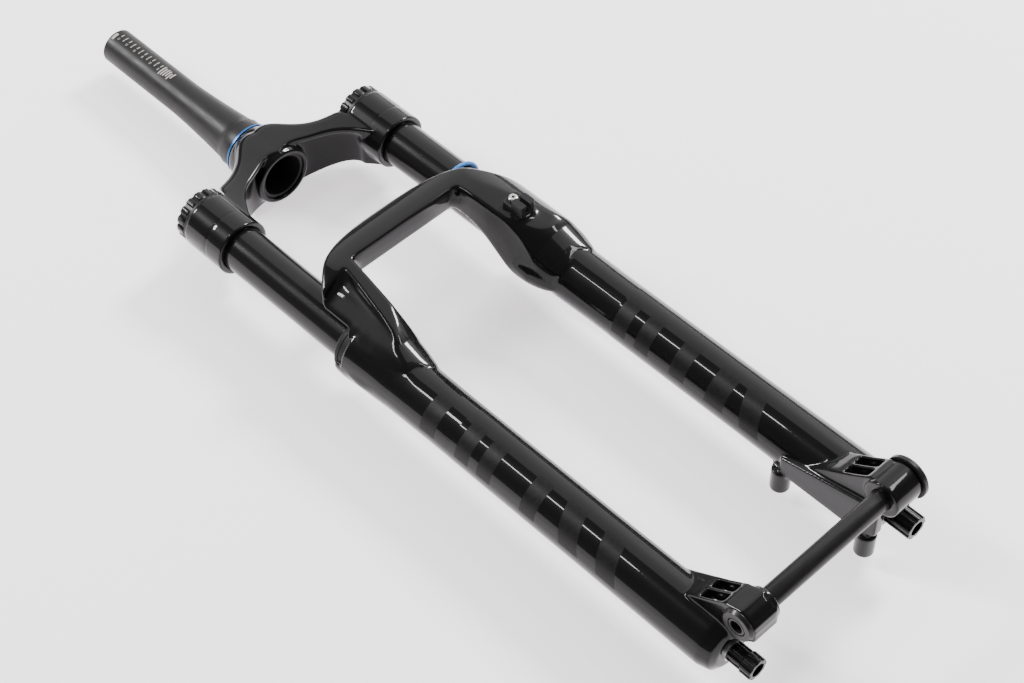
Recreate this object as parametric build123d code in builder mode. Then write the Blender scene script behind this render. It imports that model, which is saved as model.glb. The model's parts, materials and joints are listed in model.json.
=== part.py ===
from build123d import *
import os

os.makedirs("parts", exist_ok=True)

# Air-sprung single-crown bicycle fork, lying on its back.
# +Y runs up the steerer, +Z is the front of the fork, +X is the rider's left.
# The origin is the centre of the crown-race seat. Every "depth" is measured
# down from that seat, towards the axle, so a depth d lies at y = -d.

# ---- driving dimensions (mm) ----
LEG_X = 77.5            # half the spacing of the two legs
LEG_Z = 15.0            # the legs stand this far in front of the steerer
AXLE_DEPTH = 571.0      # axle to crown-race seat
AXLE_Z = 51.0           # fork offset
HUB_HALF = 55.0         # half of the 110 mm hub width
AXLE_R = 7.5            # 15 mm axle
TRAVEL = 100.0          # wheel travel

STEERER_TOP = 161.0     # cut end of the steerer above the race seat
STEERER_R = 14.3        # 28.6 mm upper diameter
RACE_R = 19.9           # 39.8 mm crown-race seat
PRESSED_R = 19.7        # steerer inside the crown
TAPER_TOP = 75.0        # the taper ends this far above the seat
BOSS_DEPTH = 43.0       # bottom of the steerer boss in the crown

CLAMP_R = 22.0          # stanchion clamps of the crown
CLAMP_TOP = 49.0
CLAMP_BOTTOM = 89.0

TUBE_R = 17.5           # 35 mm stanchions
TUBE_BORE = 15.7
TUBE_TOP = 50.0
TUBE_BOTTOM = 446.0

LOWER_TOP = 216.0       # mouth of each lower leg
LOWER_BOTTOM = 566.0
LOWER_BORE = 19.0       # bored for the bushings
RUN = 0.05              # radial running clearance
POST_X = 58.0           # brake posts
POST_DEPTH = 489.5
POST_PITCH = 74.2
POST_TIP_Z = -14.5
GUIDE_X = 69.0          # hose guide on the arch
GUIDE_Y = -224.5
GUIDE_Z = 52.2

RIGHT = -1
LEFT = 1
LEG_NAMES = {LEFT: "left", RIGHT: "right"}


def leg_axis(side):
    return Axis((side * LEG_X, 0, LEG_Z), (0, -1, 0))


def across(depth):
    # Plane square to the legs: local x is +X, local y is +Z, normal points down the legs.
    return Plane.XZ.offset(depth)


# =====================================================================
# Steerer and crown
# =====================================================================

with BuildPart() as steerer:
    with BuildSketch(Plane.XY):
        with BuildLine():
            Polyline(
                (12.0, STEERER_TOP),
                (STEERER_R, STEERER_TOP),
                (STEERER_R, TAPER_TOP),
                (18.9, 11.0),
                (RACE_R, 9.5),
                (RACE_R, 0),
                (PRESSED_R, 0),
                (PRESSED_R, -BOSS_DEPTH + 2.5),
                (17.2, -BOSS_DEPTH + 2.5),
                (17.2, 6.0),
                (12.0, 68.0),
                close=True,
            )
        make_face()
    revolve(axis=Axis.Y)
    chamfer(steerer.edges().filter_by(GeomType.CIRCLE).group_by(Axis.Y)[-1], length=0.7)
steerer.part.label = "steerer_tube"
export_step(steerer.part, "parts/steerer_tube.step")

# Dust ring let into the top of the crown, just under the race seat.
RING_HEIGHT = 2.2
with BuildPart() as race_ring:
    with BuildSketch(across(0)):
        Circle(21.6)
        Circle(PRESSED_R + RUN, mode=Mode.SUBTRACT)
    extrude(amount=RING_HEIGHT - 0.05)
    top_edges = race_ring.edges().filter_by(GeomType.CIRCLE).group_by(Axis.Y)[-1]
    chamfer(top_edges.sort_by(SortBy.RADIUS)[-1], length=0.9)
race_ring.part.label = "crown_race_ring"
export_step(race_ring.part, "parts/crown_race_ring.step")

# Forged crown: an arched beam relieved from below, a boss for the steerer and two clamps.
# Beam sections: distance from the middle, top depth, bottom depth, back z, front z.
BEAM = [
    (0, 5, 40, -24, 25.5),
    (21, 12.5, 41.5, -23, 25.5),
    (33, 24.5, 47, -19, 26),
    (46, 32, 56, -13, 27.5),
    (57, 36, 72, -7, 29.5),
    (66, 41, 86, -4, 31.5),
]
RELIEF = 9.0
with BuildPart() as crown:
    for x, top_depth, bottom_depth, back_z, front_z in BEAM:
        with BuildSketch(Plane.YZ.offset(x)):
            with Locations((-(top_depth + bottom_depth) / 2, (back_z + front_z) / 2)):
                section = Rectangle(bottom_depth - top_depth, front_z - back_z)
            fillet(section.vertices().group_by(Axis.X)[-1], radius=10)
            fillet(section.vertices().group_by(Axis.X)[0], radius=2.5)
    loft()
    mirror(about=Plane.YZ)
    # Underside relieved behind a front lip, shallower towards the back.
    for x, top_depth, bottom_depth, back_z, front_z in BEAM[:-1]:
        with BuildSketch(Plane.YZ.offset(x * 0.98)):
            with BuildLine():
                Polyline(
                    (-bottom_depth - 30, back_z - 6), (-bottom_depth - 30, front_z - 5.5),
                    (-bottom_depth + RELIEF, front_z - 5.5), (-bottom_depth + 4.5, back_z - 6), close=True,
                )
            make_face()
    relief = loft(mode=Mode.SUBTRACT)
    mirror(relief, about=Plane.YZ, mode=Mode.SUBTRACT)
    # Boss round the steerer, narrowing towards the race seat.
    with BuildSketch(Plane.XY):
        with BuildLine():
            Polyline(
                (0, -RING_HEIGHT), (21.8, -RING_HEIGHT), (23, -6), (23.8, -14),
                (23.8, -BOSS_DEPTH + 1.5), (22.6, -BOSS_DEPTH), (0, -BOSS_DEPTH), close=True,
            )
        make_face()
    revolve(axis=Axis.Y)
    with BuildSketch(across(CLAMP_TOP)):
        with Locations((LEG_X, LEG_Z), (-LEG_X, LEG_Z)):
            Circle(CLAMP_R)
    extrude(amount=CLAMP_BOTTOM - CLAMP_TOP)
    with BuildSketch(across(0)):
        Circle(PRESSED_R + RUN)
    extrude(amount=BOSS_DEPTH, mode=Mode.SUBTRACT)
    with BuildSketch(across(20)):
        with Locations((LEG_X, LEG_Z), (-LEG_X, LEG_Z)):
            Circle(CLAMP_R + 0.4)
    extrude(amount=CLAMP_TOP - 20, mode=Mode.SUBTRACT)
    with BuildSketch(across(CLAMP_TOP)):
        with Locations((LEG_X, LEG_Z), (-LEG_X, LEG_Z)):
            Circle(TUBE_R + 0.04)
    extrude(amount=60, mode=Mode.SUBTRACT)
    # Shallow groove round each clamp.
    with BuildSketch(across(71.5)):
        with Locations((LEG_X + 8, LEG_Z), (-LEG_X - 8, LEG_Z)):
            Rectangle(60, 80)
        with Locations((LEG_X, LEG_Z), (-LEG_X, LEG_Z)):
            Circle(CLAMP_R - 0.7, mode=Mode.SUBTRACT)
        with Locations((0, 0)):
            Rectangle(2 * LEG_X - 16, 120, mode=Mode.SUBTRACT)
    extrude(amount=1.2, mode=Mode.SUBTRACT)
crown.part.label = "crown"
export_step(crown.part, "parts/crown.step")

# =====================================================================
# Stanchions
# =====================================================================

for side in (LEFT, RIGHT):
    with BuildPart() as stanchion:
        with BuildSketch(across(TUBE_TOP)):
            with Locations((side * LEG_X, LEG_Z)):
                Circle(TUBE_R)
        extrude(amount=TUBE_BOTTOM - TUBE_TOP)
        with BuildSketch(across(TUBE_TOP)):
            with Locations((side * LEG_X, LEG_Z)):
                Circle(TUBE_BORE)
        extrude(amount=TUBE_BOTTOM - TUBE_TOP, mode=Mode.SUBTRACT)
        outer = stanchion.edges().filter_by(GeomType.CIRCLE).group_by(SortBy.RADIUS)[-1]
        chamfer(outer.sort_by(Axis.Y)[0], length=1.0)
    stanchion.part.label = f"{LEG_NAMES[side]}_stanchion"
    export_step(stanchion.part, f"parts/{LEG_NAMES[side]}_stanchion.step")

# =====================================================================
# Lower legs: one casting with arch, axle bosses and brake posts
# =====================================================================

# The shoulders narrow down each leg inside this flare: radius about the leg axis against depth.
FLARE = [
    (0, 150), (170, 150), (170, 198), (60, 210), (42, 226), (32.5, 250), (27.5, 270), (23.8, 290), (21.2, 314), (0, 314),
]
with BuildPart() as flare:
    for side in (LEFT, RIGHT):
        with BuildSketch(Plane.XY.offset(LEG_Z)):
            with BuildLine():
                Polyline(*[(side * (LEG_X + r), -depth) for r, depth in FLARE], close=True)
            make_face()
        revolve(axis=leg_axis(side))

# Arch and its shoulders: the overlap of a front view, a side view and an end view.
WINDOW_EDGES = {
    62: ((51, -180), (55.5, -215), (60.5, -246), (66, -285), (76, -330)),
    0: ((42, -178), (45, -215), (46, -250), (50, -285), (62, -330)),
}
with BuildPart() as arch:
    with BuildSketch(Plane.XY.offset(8)):
        with BuildLine():
            over = Spline(
                (0, -154), (40, -157), (62, -165), (80, -181), (96, -203), (101.5, -226), (100, -258), (90, -315),
                tangents=((1, 0), (-0.2, -1)),
            )
            Polyline(over @ 1, (0, -315), (0, -154))
        make_face()
        mirror(about=Plane.YZ)
    extrude(amount=60)
    with BuildSketch(Plane.YZ):
        with BuildLine():
            nose = Spline(
                (-150, 46), (-160, 53), (-175, 55.5), (-210, 53), (-250, 46), (-290, 38), (-320, 24),
                tangents=((-0.6, 1), (-1, -0.6)),
            )
            Line(nose @ 1, (-320, 10))
            Line((-320, 10), (-240, 10))
            heel = Spline((-240, 10), (-205, 27), (-182, 33.5), (-150, 34.5), tangents=((1, 0.2), (1, 0)))
            Line(heel @ 1, nose @ 0)
        make_face()
    extrude(amount=120, both=True, mode=Mode.INTERSECT)
    with BuildSketch(across(140)):
        with BuildLine():
            roll = Spline(
                (-102, 6), (-101.5, 22), (-98, 35), (-90, 45), (-78, 51.5), (-64, 55.5), (-50, 57), (0, 57.5),
                tangents=((0, 1), (1, 0)),
            )
            Polyline(roll @ 1, (0, 6), roll @ 0)
        make_face()
        mirror(about=Plane.YZ)
    extrude(amount=200, mode=Mode.INTERSECT)
    # Window with drafted walls, narrower at the back.
    for z, wall in WINDOW_EDGES.items():
        with BuildSketch(Plane.XY.offset(z)):
            with BuildLine():
                edge = Spline(*wall)
                Polyline(edge @ 1, (-1, -330), (-1, wall[0][1]), edge @ 0)
            make_face()
    window = loft(mode=Mode.SUBTRACT)
    mirror(window, about=Plane.YZ, mode=Mode.SUBTRACT)
    add(flare.part, mode=Mode.INTERSECT)

# Hollow cheek of the right shoulder, behind a thin land that follows the window.
with BuildPart() as cheek:
    with BuildSketch(Plane.XY.offset(10)):
        with BuildLine():
            Polyline(
                (-60, -181), (-68, -184), (-92, -189), (-115, -215), (-110, -262), (-84, -290), (-79, -282), close=True,
            )
        make_face()
    extrude(amount=60)
    with BuildSketch(across(170)):
        with BuildLine():
            Polyline(
                (-50, 51), (-62, 49.5), (-72, 46), (-82, 41), (-91, 34.5), (-98, 25), (-103, 12), (-120, 8),
                (-120, 70), (-50, 70),
                close=True,
            )
        make_face()
    extrude(amount=130, mode=Mode.INTERSECT)
    with BuildSketch(Plane.YZ):
        with BuildLine():
            Polyline((-170, 64), (-184, 53), (-189, 8), (-262, 8), (-290, 48), (-290, 70), (-170, 70), close=True)
        make_face()
    extrude(amount=140, both=True, mode=Mode.INTERSECT)

# Axle bosses and the webs that carry them, drawn from the side.
with BuildPart() as dropouts:
    for side in (LEFT, RIGHT):
        with BuildSketch(Plane.YZ.offset(side * (HUB_HALF + 3))):
            with BuildLine():
                Polyline(
                    (-485, 14), (-502, 21), (-516, 30), (-545, 50), (-558, 60), (-571, 64.5),
                    (-583, 57), (-584, 44), (-568, 30), (-560, 12), (-485, 12), close=True,
                )
            make_face()
        extrude(amount=side * 22)
        with BuildSketch(Plane.YZ.offset(side * HUB_HALF)):
            with Locations((-AXLE_DEPTH, AXLE_Z)):
                Circle(14.0 if side == LEFT else 12.0)
        extrude(amount=side * 6)
        with BuildSketch(Plane.YZ.offset(side * (HUB_HALF + 5))):
            with Locations((-AXLE_DEPTH, AXLE_Z)):
                Circle(14.0 if side == LEFT else 12.7)
        extrude(amount=side * 20)
        # Two triangular pockets each side of a rib lighten the web from the front.
        for inner, width in ((5.4, 7.6), (15.2, 7.6)):
            with BuildSketch(Plane.YZ.offset(side * (HUB_HALF + inner))):
                with BuildLine():
                    Polyline((-519, 62), (-554, 80), (-556, 44), (-541, 38), close=True)
                make_face()
            extrude(amount=side * width, mode=Mode.SUBTRACT)

with BuildPart() as lowers:
    for side in (LEFT, RIGHT):
        with BuildSketch(Plane.XY.offset(LEG_Z)):
            with BuildLine():
                Polyline(
                    (side * LEG_X, -LOWER_TOP),
                    (side * (LEG_X + 23.6), -LOWER_TOP),
                    (side * (LEG_X + 24.2), -LOWER_TOP - 6),
                    (side * (LEG_X + 23.2), -LOWER_TOP - 22),
                    (side * (LEG_X + 21.8), -LOWER_TOP - 50),
                    (side * (LEG_X + 21.3), -LOWER_TOP - 90),
                    (side * (LEG_X + 21.3), -LOWER_TOP - 230),
                    (side * (LEG_X + 21.7), -LOWER_BOTTOM + 12),
                    (side * (LEG_X + 19.5), -LOWER_BOTTOM + 3),
                    (side * (LEG_X + 14.5), -LOWER_BOTTOM),
                    (side * LEG_X, -LOWER_BOTTOM),
                    close=True,
                )
            make_face()
        revolve(axis=leg_axis(side))
        # Buttress on the inner back of each leg, below the arch.
        with BuildSketch(Plane.XY.offset(14)):
            with BuildLine():
                swell = Spline(
                    (side * 57, -212), (side * 51, -226), (side * 48, -248), (side * 51, -270),
                    (side * 60, -294),
                )
                Polyline(swell @ 1, (side * 60, -212), swell @ 0)
            make_face()
        revolve(axis=Axis((side * 60, 0, 14), (0, 1, 0)))
    # Hood round the outer half of each leg mouth, cut back towards the rear.
    for side in (LEFT, RIGHT):
        with BuildSketch(across(180)) as ring_section:
            with Locations((side * LEG_X, LEG_Z)):
                Circle(24.6)
            with Locations((side * (LEG_X - 18), LEG_Z)):
                Rectangle(42, 60, mode=Mode.SUBTRACT)
        extrude(amount=44)
    with BuildSketch(Plane.YZ):
        with BuildLine():
            Polyline((-178, 45), (-187, 39), (-207, 3), (-215, -14), (-178, -14), close=True)
        make_face()
    extrude(amount=120, both=True, mode=Mode.SUBTRACT)
    add(arch.part)
    add(cheek.part, mode=Mode.SUBTRACT)
    add(dropouts.part)
    # Brake posts on the left leg with the web that joins them.
    with BuildSketch(Plane.XY.offset(POST_TIP_Z)):
        with Locations((POST_X, -POST_DEPTH), (POST_X, -POST_DEPTH - POST_PITCH)):
            Circle(7.3)
    extrude(amount=20)
    with BuildSketch(Plane.YZ.offset(POST_X - 4)):
        with BuildLine():
            Polyline(
                (-POST_DEPTH, 4), (-POST_DEPTH - POST_PITCH, 4),
                (-572, 12), (-572, 40), (-POST_DEPTH, 20), close=True,
            )
        make_face()
    extrude(amount=8)
    # Bores: seal seat, bushing bore, lower clearance bore and the hole for the foot stud.
    for side in (LEFT, RIGHT):
        for depth, radius, length in (
            (LOWER_TOP - 60, CLAMP_R + 0.8, 60),
            (LOWER_TOP - 10, 21.6, 17.5),
            (LOWER_TOP, LOWER_BORE, 205),
            (LOWER_TOP + 200, 18.4, TUBE_BOTTOM + TRAVEL + 6 - LOWER_TOP - 200),
            (LOWER_TOP + 300, 5.6, 60),
        ):
            with BuildSketch(across(depth)):
                with Locations((side * LEG_X, LEG_Z)):
                    Circle(radius)
            extrude(amount=length, mode=Mode.SUBTRACT)
        with BuildSketch(Plane.YZ.offset(side * 40)):
            with Locations((-AXLE_DEPTH, AXLE_Z)):
                Circle(AXLE_R + RUN)
        extrude(amount=side * 60, mode=Mode.SUBTRACT)
    # Seat of the threaded axle insert.
    with BuildSketch(Plane.YZ.offset(-66.8)):
        with Locations((-AXLE_DEPTH, AXLE_Z)):
            Circle(9.75)
    extrude(amount=-20, mode=Mode.SUBTRACT)
    # Pad and tapped hole for the hose guide on the left shoulder of the arch.
    with BuildSketch(Plane.XY.offset(44)):
        with Locations((GUIDE_X, GUIDE_Y)):
            RectangleRounded(15, 21, 3)
    extrude(amount=GUIDE_Z - 44)
    with BuildSketch(Plane.XY.offset(GUIDE_Z)):
        with Locations((GUIDE_X, GUIDE_Y)):
            RectangleRounded(15, 21, 3)
    extrude(amount=6, mode=Mode.SUBTRACT)
    with BuildSketch(Plane.XY.offset(GUIDE_Z)):
        with Locations((GUIDE_X, GUIDE_Y + 5.5)):
            Circle(2.0)
    extrude(amount=-9, mode=Mode.SUBTRACT)
    with BuildSketch(Plane.XY.offset(POST_TIP_Z)):
        with Locations((POST_X, -POST_DEPTH), (POST_X, -POST_DEPTH - POST_PITCH)):
            Circle(3.0)
    extrude(amount=14.5, mode=Mode.SUBTRACT)
lowers.part.label = "lower_legs"
export_step(lowers.part, "parts/lower_legs.step")

# =====================================================================
# Seals, bushings and small rings: each is a ring about one leg
# =====================================================================

# name, side, top depth, bottom depth, inner radius, outer radius
RINGS = [
    ("foam_ring", LOWER_TOP + 8, LOWER_TOP + 16, TUBE_R + 0.06, LOWER_BORE - 0.05),
    ("upper_bushing", LOWER_TOP + 17, LOWER_TOP + 42, TUBE_R + RUN, LOWER_BORE - 0.02),
    ("lower_bushing", LOWER_TOP + 165, LOWER_TOP + 195, TUBE_R + RUN, LOWER_BORE - 0.02),
    ("retaining_ring", 443.0, 444.4, 11.0, TUBE_BORE - 0.02),
    ("crush_washer", LOWER_BOTTOM + 0.05, LOWER_BOTTOM + 1.55, 5.3, 8.6),
]
for side in (LEFT, RIGHT):
    for ring_name, top_depth, bottom_depth, inner_r, outer_r in RINGS:
        with BuildPart() as ring:
            with BuildSketch(across(top_depth)):
                with Locations((side * LEG_X, LEG_Z)):
                    Circle(outer_r)
                    Circle(inner_r, mode=Mode.SUBTRACT)
            extrude(amount=bottom_depth - top_depth)
            if ring_name == "retaining_ring":
                with BuildSketch(across(top_depth)):
                    with Locations((side * LEG_X, LEG_Z + 13)):
                        Rectangle(6, 9)
                extrude(amount=4, mode=Mode.SUBTRACT)
        ring.part.label = f"{LEG_NAMES[side]}_{ring_name}"
        export_step(ring.part, f"parts/{LEG_NAMES[side]}_{ring_name}.step")

    # Wiper: a lip outside the leg, a body pressed into its mouth.
    with BuildPart() as wiper:
        with BuildSketch(Plane.XY.offset(LEG_Z)):
            with BuildLine():
                Polyline(
                    (side * (LEG_X + TUBE_R + RUN), -LOWER_TOP + 6),
                    (side * (LEG_X + TUBE_R + 1.2), -LOWER_TOP + 6),
                    (side * (LEG_X + 21.9), -LOWER_TOP + 2.5),
                    (side * (LEG_X + 21.9), -LOWER_TOP + 0.1),
                    (side * (LEG_X + 21.5), -LOWER_TOP + 0.1),
                    (side * (LEG_X + 21.5), -LOWER_TOP - 7),
                    (side * (LEG_X + TUBE_R + RUN), -LOWER_TOP - 7),
                    close=True,
                )
            make_face()
        revolve(axis=leg_axis(side))
    wiper.part.label = f"{LEG_NAMES[side]}_wiper_seal"
    export_step(wiper.part, f"parts/{LEG_NAMES[side]}_wiper_seal.step")

# Travel indicator: a loose O-ring on the left stanchion.
with BuildPart() as travel_ring:
    with BuildSketch(Plane.XY.offset(LEG_Z)):
        with Locations((LEG_X + TUBE_R + RUN + 1.6, -152)):
            Circle(1.6)
    revolve(axis=leg_axis(LEFT))
travel_ring.part.label = "travel_o_ring"
export_step(travel_ring.part, "parts/travel_o_ring.step")

# =====================================================================
# Air spring, left leg
# =====================================================================

SHAFT_R = 5.0
PISTON_DEPTH = 404.0    # crown of both pistons with the fork extended

# Plug screwed into the stanchion, with a neck for the valve.
with BuildPart() as air_plug:
    with BuildSketch(Plane.XY.offset(LEG_Z)):
        with BuildLine():
            Polyline(
                (LEG_X, -47), (LEG_X + 21.2, -47), (LEG_X + 21.2, -48.9), (LEG_X + TUBE_BORE - 0.05, -48.9),
                (LEG_X + TUBE_BORE - 0.05, -67), (LEG_X + 12, -67), (LEG_X + 12, -53), (LEG_X, -53),
                close=True,
            )
        make_face()
    revolve(axis=leg_axis(LEFT))
    with BuildSketch(across(43)):
        with Locations((LEG_X, LEG_Z)):
            Circle(7.0)
    extrude(amount=6)
    with BuildSketch(across(42)):
        with Locations((LEG_X, LEG_Z)):
            Circle(3.9)
    extrude(amount=16, mode=Mode.SUBTRACT)
air_plug.part.label = "air_top_plug"
export_step(air_plug.part, "parts/air_top_plug.step")

with BuildPart() as air_valve:
    with BuildSketch(Plane.XY.offset(LEG_Z)):
        with BuildLine():
            Polyline(
                (LEG_X, -41.2), (LEG_X + 1.2, -41.2), (LEG_X + 1.2, -42.4), (LEG_X + 2.6, -42.4),
                (LEG_X + 2.6, -41.6), (LEG_X + 3.8, -41.6), (LEG_X + 3.8, -57), (LEG_X, -57), close=True,
            )
        make_face()
    revolve(axis=leg_axis(LEFT))
air_valve.part.label = "air_valve"
export_step(air_valve.part, "parts/air_valve.step")

# Scalloped caps at both leg tops: the air valve cover and the compression dial.
for cap_name, side, top_depth in (("air_valve_cap", LEFT, 38.2), ("compression_dial", RIGHT, 38.2)):
    with BuildPart() as cap:
        with BuildSketch(across(top_depth)):
            with Locations((side * LEG_X, LEG_Z)):
                Circle(21.4)
            with Locations((side * LEG_X, LEG_Z)):
                with PolarLocations(22.6, 16):
                    Circle(2.4, mode=Mode.SUBTRACT)
        extrude(amount=46.7 - top_depth)
        chamfer(cap.faces().sort_by(Axis.Y)[-1].edges(), length=0.6)
        with BuildSketch(across(top_depth + 2.2 if side == LEFT else 44.0)):
            with Locations((side * LEG_X, LEG_Z)):
                Circle(17.0)
        extrude(amount=10, mode=Mode.SUBTRACT)
        if side == RIGHT:
            # Centre bore for the small low-speed knob.
            with BuildSketch(across(30)):
                with Locations((side * LEG_X, LEG_Z)):
                    Circle(8.0)
            extrude(amount=11.7, mode=Mode.SUBTRACT)
            with BuildSketch(across(30)):
                with Locations((side * LEG_X, LEG_Z)):
                    Circle(4.0)
            extrude(amount=20, mode=Mode.SUBTRACT)
    cap.part.label = cap_name
    export_step(cap.part, f"parts/{cap_name}.step")

with BuildPart() as volume_spacer:
    with BuildSketch(across(67.2)):
        with Locations((LEG_X, LEG_Z)):
            Circle(13.5)
            Circle(4.2, mode=Mode.SUBTRACT)
    extrude(amount=24)
    with BuildSketch(across(75)):
        with Locations((LEG_X, LEG_Z)):
            Circle(15)
            Circle(12.4, mode=Mode.SUBTRACT)
    extrude(amount=1.5, mode=Mode.SUBTRACT)
volume_spacer.part.label = "volume_spacer"
export_step(volume_spacer.part, "parts/volume_spacer.step")

# Shaft, piston, its seal and the top-out bumper ride with the lower legs.
with BuildPart() as air_shaft:
    with BuildSketch(across(PISTON_DEPTH + 3)):
        with Locations((LEG_X, LEG_Z)):
            Circle(SHAFT_R)
    extrude(amount=LOWER_BOTTOM + 12 - PISTON_DEPTH - 3)
    with BuildSketch(across(PISTON_DEPTH + 3)):
        with Locations((LEG_X, LEG_Z)):
            Circle(2.6)
    extrude(amount=200, mode=Mode.SUBTRACT)
air_shaft.part.label = "air_shaft"
export_step(air_shaft.part, "parts/air_shaft.step")

with BuildPart() as air_piston:
    with BuildSketch(Plane.XY.offset(LEG_Z)):
        with BuildLine():
            Polyline(
                (LEG_X, -PISTON_DEPTH), (LEG_X + 13, -PISTON_DEPTH), (LEG_X + 15.62, -PISTON_DEPTH - 2),
                (LEG_X + 15.62, -PISTON_DEPTH - 4), (LEG_X + 12.5, -PISTON_DEPTH - 4),
                (LEG_X + 12.5, -PISTON_DEPTH - 8.5), (LEG_X + 15.62, -PISTON_DEPTH - 8.5),
                (LEG_X + 15.62, -PISTON_DEPTH - 12), (LEG_X + 5.05, -PISTON_DEPTH - 12),
                (LEG_X + 5.05, -PISTON_DEPTH - 2.9), (LEG_X, -PISTON_DEPTH - 2.9), close=True,
            )
        make_face()
    revolve(axis=leg_axis(LEFT))
air_piston.part.label = "air_piston"
export_step(air_piston.part, "parts/air_piston.step")

with BuildPart() as piston_seal:
    with BuildSketch(across(PISTON_DEPTH + 4.1)):
        with Locations((LEG_X, LEG_Z)):
            Circle(TUBE_BORE - RUN)
            Circle(12.55, mode=Mode.SUBTRACT)
    extrude(amount=4.3)
piston_seal.part.label = "air_piston_seal"
export_step(piston_seal.part, "parts/air_piston_seal.step")

with BuildPart() as bumper:
    with BuildSketch(across(PISTON_DEPTH + 12.1)):
        with Locations((LEG_X, LEG_Z)):
            Circle(10.5)
            Circle(SHAFT_R + RUN, mode=Mode.SUBTRACT)
    extrude(amount=5)
    chamfer(bumper.edges().filter_by(GeomType.CIRCLE).group_by(SortBy.RADIUS)[-1], length=1.2)
bumper.part.label = "top_out_bumper"
export_step(bumper.part, "parts/top_out_bumper.step")

# =====================================================================
# Damper, right leg
# =====================================================================

with BuildPart() as damper_plug:
    with BuildSketch(Plane.XY.offset(LEG_Z)):
        with BuildLine():
            Polyline(
                (-LEG_X, -47), (-LEG_X - 21.2, -47), (-LEG_X - 21.2, -48.9),
                (-LEG_X - TUBE_BORE + 0.05, -48.9), (-LEG_X - TUBE_BORE + 0.05, -69),
                (-LEG_X, -69), close=True,
            )
        make_face()
    revolve(axis=leg_axis(RIGHT))
    with BuildSketch(across(46)):
        with Locations((-LEG_X, LEG_Z)):
            Circle(3.8)
    extrude(amount=8, mode=Mode.SUBTRACT)
damper_plug.part.label = "damper_top_plug"
export_step(damper_plug.part, "parts/damper_top_plug.step")

with BuildPart() as low_speed_knob:
    with BuildSketch(across(36)):
        with Locations((-LEG_X, LEG_Z)):
            Circle(7.7)
            with PolarLocations(8.6, 12):
                Circle(1.5, mode=Mode.SUBTRACT)
    extrude(amount=5.4)
    with BuildSketch(across(41)):
        with Locations((-LEG_X, LEG_Z)):
            Circle(3.7)
    extrude(amount=12.5)
    with BuildSketch(across(35)):
        with Locations((-LEG_X, LEG_Z)):
            RegularPolygon(radius=2.5, side_count=6, major_radius=False)
    extrude(amount=4, mode=Mode.SUBTRACT)
low_speed_knob.part.label = "low_speed_knob"
export_step(low_speed_knob.part, "parts/low_speed_knob.step")

with BuildPart() as cartridge:
    with BuildSketch(across(69.2)):
        with Locations((-LEG_X, LEG_Z)):
            Circle(14.4)
            Circle(13.0, mode=Mode.SUBTRACT)
    extrude(amount=349)
cartridge.part.label = "damper_cartridge"
export_step(cartridge.part, "parts/damper_cartridge.step")

with BuildPart() as base_valve:
    with BuildSketch(Plane.XY.offset(LEG_Z)):
        with BuildLine():
            Polyline(
                (-LEG_X, -69.3), (-LEG_X - 5, -69.3), (-LEG_X - 5, -92), (-LEG_X - 12.9, -92),
                (-LEG_X - 12.9, -101), (-LEG_X - 6, -101), (-LEG_X - 6, -106), (-LEG_X, -106), close=True,
            )
        make_face()
    revolve(axis=leg_axis(RIGHT))
    with BuildSketch(across(90)):
        with Locations((-LEG_X, LEG_Z)):
            with PolarLocations(9.4, 6):
                Circle(1.6)
    extrude(amount=14, mode=Mode.SUBTRACT)
base_valve.part.label = "compression_base_valve"
export_step(base_valve.part, "parts/compression_base_valve.step")

# Floating piston between damper oil and its gas charge.
with BuildPart() as floating_piston:
    with BuildSketch(across(170)):
        with Locations((-LEG_X, LEG_Z)):
            Circle(12.9)
    extrude(amount=12)
    with BuildSketch(across(169)):
        with Locations((-LEG_X, LEG_Z)):
            Circle(9.5)
    extrude(amount=8, mode=Mode.SUBTRACT)
    with BuildSketch(across(176)):
        with Locations((-LEG_X, LEG_Z)):
            Circle(14)
            Circle(11.4, mode=Mode.SUBTRACT)
    extrude(amount=2.5, mode=Mode.SUBTRACT)
floating_piston.part.label = "floating_piston"
export_step(floating_piston.part, "parts/floating_piston.step")

with BuildPart() as damper_rod:
    with BuildSketch(across(PISTON_DEPTH - 14)):
        with Locations((-LEG_X, LEG_Z)):
            Circle(SHAFT_R)
    extrude(amount=LOWER_BOTTOM + 12 - PISTON_DEPTH + 14)
    with BuildSketch(across(PISTON_DEPTH - 4)):
        with Locations((-LEG_X, LEG_Z)):
            Circle(2.1)
    extrude(amount=260, mode=Mode.SUBTRACT)
damper_rod.part.label = "damper_rod"
export_step(damper_rod.part, "parts/damper_rod.step")

with BuildPart() as rebound_needle:
    with BuildSketch(across(PISTON_DEPTH + 2)):
        with Locations((-LEG_X, LEG_Z)):
            Circle(1.9)
    extrude(amount=LOWER_BOTTOM + 15.4 - PISTON_DEPTH - 2)
rebound_needle.part.label = "rebound_needle"
export_step(rebound_needle.part, "parts/rebound_needle.step")

with BuildPart() as damper_piston:
    with BuildSketch(across(PISTON_DEPTH - 8)):
        with Locations((-LEG_X, LEG_Z)):
            Circle(12.4)
            Circle(SHAFT_R + RUN, mode=Mode.SUBTRACT)
            with PolarLocations(8.8, 8):
                Circle(1.3, mode=Mode.SUBTRACT)
    extrude(amount=8)
    with BuildSketch(across(PISTON_DEPTH - 6.5)):
        with Locations((-LEG_X, LEG_Z)):
            Circle(13)
            Circle(11.3, mode=Mode.SUBTRACT)
    extrude(amount=5, mode=Mode.SUBTRACT)
damper_piston.part.label = "damper_piston"
export_step(damper_piston.part, "parts/damper_piston.step")

with BuildPart() as glide_ring:
    with BuildSketch(across(PISTON_DEPTH - 6.3)):
        with Locations((-LEG_X, LEG_Z)):
            Circle(13.0 - RUN)
            Circle(11.35, mode=Mode.SUBTRACT)
    extrude(amount=4.6)
glide_ring.part.label = "piston_glide_ring"
export_step(glide_ring.part, "parts/piston_glide_ring.step")

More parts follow.
